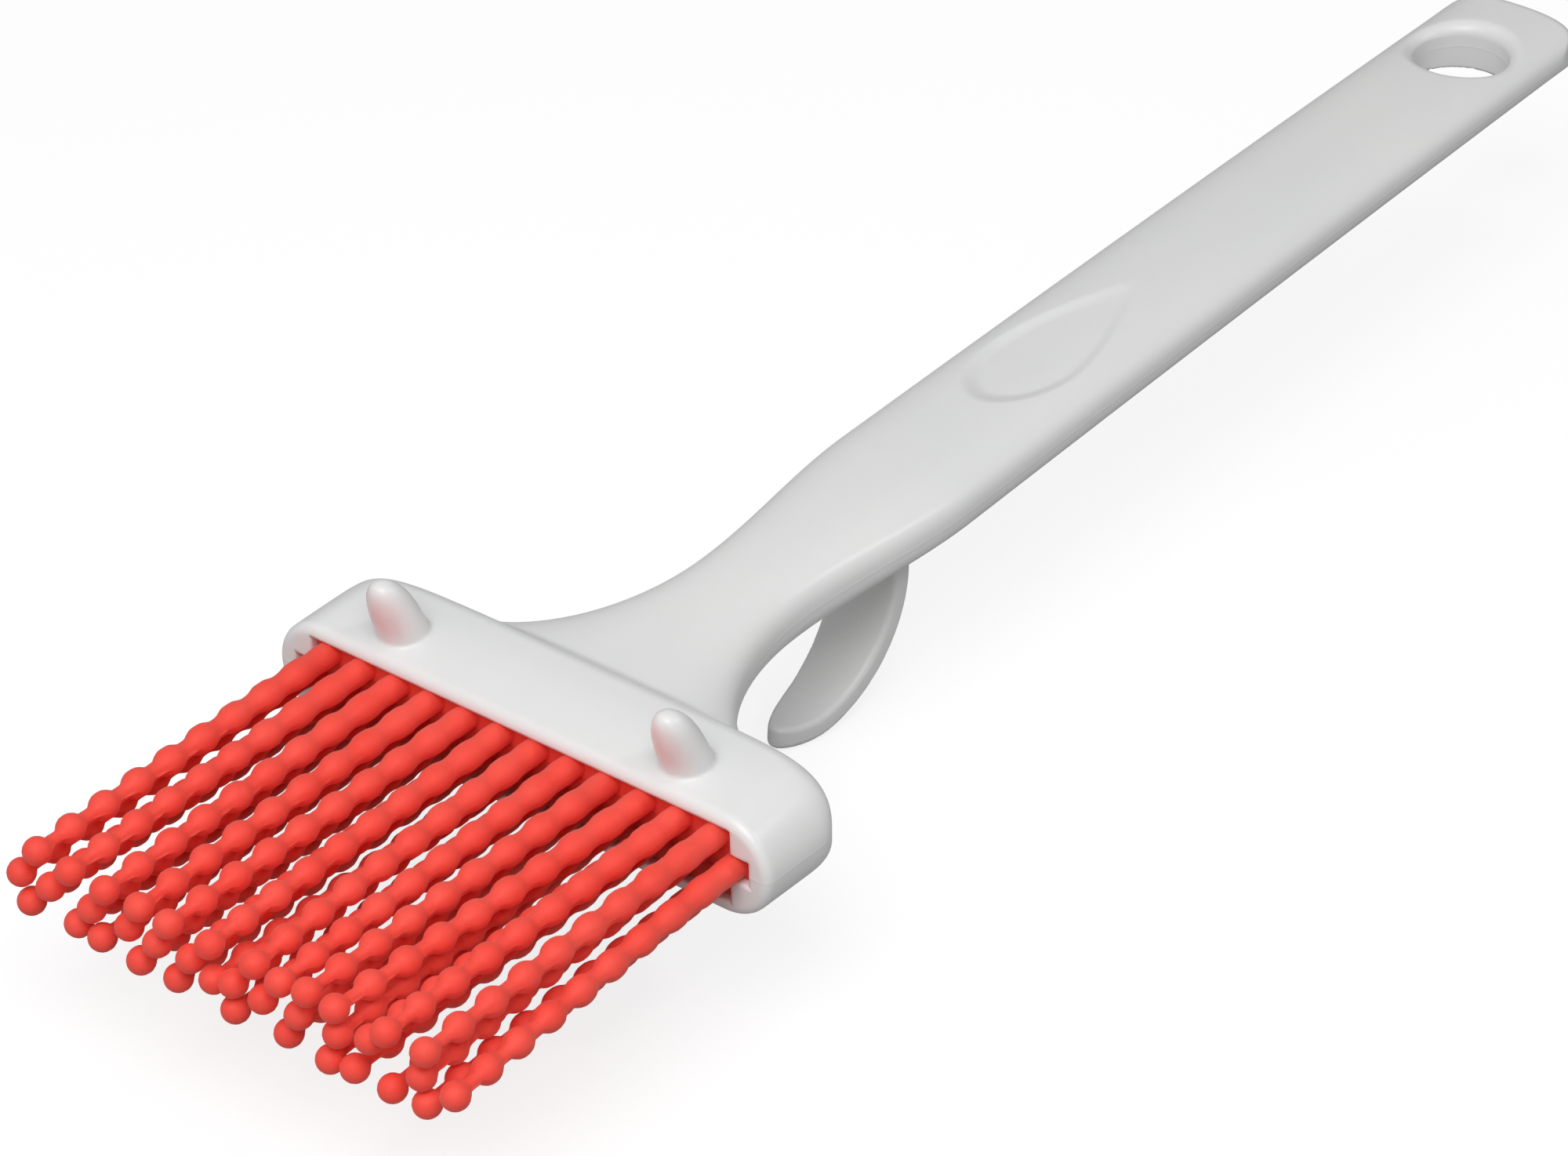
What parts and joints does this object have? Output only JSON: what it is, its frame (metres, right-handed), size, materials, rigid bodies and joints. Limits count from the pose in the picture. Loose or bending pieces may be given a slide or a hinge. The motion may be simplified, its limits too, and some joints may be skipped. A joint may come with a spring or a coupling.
{
  "type": "pastry brush",
  "caption": "Flat pastry and basting brush: moulded plastic handle and head with staggered rows of beaded silicone bristles, a pan hook and a hanging hole.",
  "frame": {"origin": "middle of the head's flat underside, 6.6 mm behind the plane of the mouth and 6.7 mm below the head's middle plane", "axes": "+Y along the handle towards the hanging hole, the bristles point along -Y; +Z out of the side with the two rest nubs, the pan hook points along -Z; +X to the right seen from the nub side with the bristles towards the viewer"},
  "size_m": [0.0762, 0.2657, 0.0388],
  "materials": {
    "handle_plastic": "satin gloss white moulding",
    "silicone": "soft matte red silicone",
    "adhesive": "cured clear-amber adhesive"
  },
  "bodies": {
    "handle": {"handle": "handle_plastic", "adhesive_bed": "adhesive", "comb_bar_top": "silicone", "comb_bar_middle": "silicone", "comb_bar_bottom": "silicone"},
    "row_top": {"bristle_top_01": "silicone", "bristle_top_02": "silicone", "bristle_top_03": "silicone", "bristle_top_04": "silicone", "bristle_top_05": "silicone", "bristle_top_06": "silicone", "bristle_top_07": "silicone", "bristle_top_08": "silicone", "bristle_top_09": "silicone", "bristle_top_10": "silicone", "bristle_top_11": "silicone", "bristle_top_12": "silicone"},
    "row_middle": {"bristle_middle_01": "silicone", "bristle_middle_02": "silicone", "bristle_middle_03": "silicone", "bristle_middle_04": "silicone", "bristle_middle_05": "silicone", "bristle_middle_06": "silicone", "bristle_middle_07": "silicone", "bristle_middle_08": "silicone", "bristle_middle_09": "silicone", "bristle_middle_10": "silicone", "bristle_middle_11": "silicone", "bristle_middle_12": "silicone", "bristle_middle_13": "silicone"},
    "row_bottom": {"bristle_bottom_01": "silicone", "bristle_bottom_02": "silicone", "bristle_bottom_03": "silicone", "bristle_bottom_04": "silicone", "bristle_bottom_05": "silicone", "bristle_bottom_06": "silicone", "bristle_bottom_07": "silicone", "bristle_bottom_08": "silicone", "bristle_bottom_09": "silicone", "bristle_bottom_10": "silicone", "bristle_bottom_11": "silicone", "bristle_bottom_12": "silicone"}
  },
  "joints": [
    {"name": "middle_row_flex", "type": "hinge", "parent": "handle", "child": "row_middle", "pos_m": [0, -0.00919, 0.0069], "axis": [1, 0, 0], "range_deg": [-40, 40], "stiffness_Nm_per_rad": 0.03},
    {"name": "top_row_flex", "type": "hinge", "parent": "handle", "child": "row_top", "pos_m": [0, -0.00919, 0.0102], "axis": [1, 0, 0], "range_deg": [-40, 40], "stiffness_Nm_per_rad": 0.03},
    {"name": "bottom_row_flex", "type": "hinge", "parent": "handle", "child": "row_bottom", "pos_m": [0, -0.00919, 0.0036], "axis": [1, 0, 0], "range_deg": [-40, 40], "stiffness_Nm_per_rad": 0.03}
  ],
  "couplings": [
    {"joint": "top_row_flex", "follows": "middle_row_flex", "ratio": 1},
    {"joint": "bottom_row_flex", "follows": "middle_row_flex", "ratio": 1}
  ]
}
